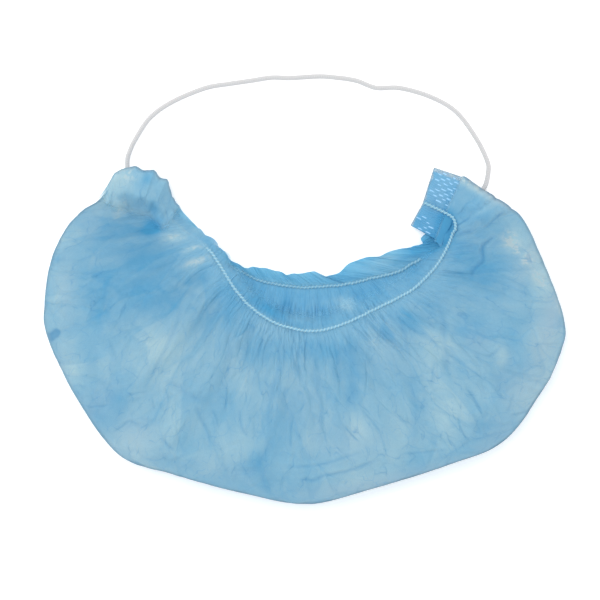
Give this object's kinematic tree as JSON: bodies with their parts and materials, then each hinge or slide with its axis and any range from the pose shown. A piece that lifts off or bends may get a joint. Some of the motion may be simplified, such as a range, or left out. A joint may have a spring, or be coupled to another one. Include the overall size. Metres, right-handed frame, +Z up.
{
  "type": "beard cover",
  "caption": "Disposable pouch of thin nonwoven fabric for a beard, with gathered elastic edges, welded end tabs and a round elastic head loop.",
  "frame": {"origin": "centre of the cover's box, without the head loop, at the surface it lies on", "axes": "+X along the pouch towards its right tab, +Y from the bottom fold towards the head loop, +Z up from the surface it lies on"},
  "size_m": [0.2404, 0.197, 0.0466],
  "materials": {
    "nonwoven_fabric": "matte translucent nonwoven",
    "welded_fabric": "stacked fabric, satin where welded",
    "edge_elastic": "matte stitched thread",
    "loop_elastic": "matte knitted cord"
  },
  "bodies": {
    "root": {"cover_shell": "nonwoven_fabric", "left_weld_tab": "welded_fabric", "right_weld_tab": "welded_fabric", "front_edge_elastic": "edge_elastic", "back_edge_elastic": "edge_elastic", "head_loop": "loop_elastic"}
  },
  "joints": []
}
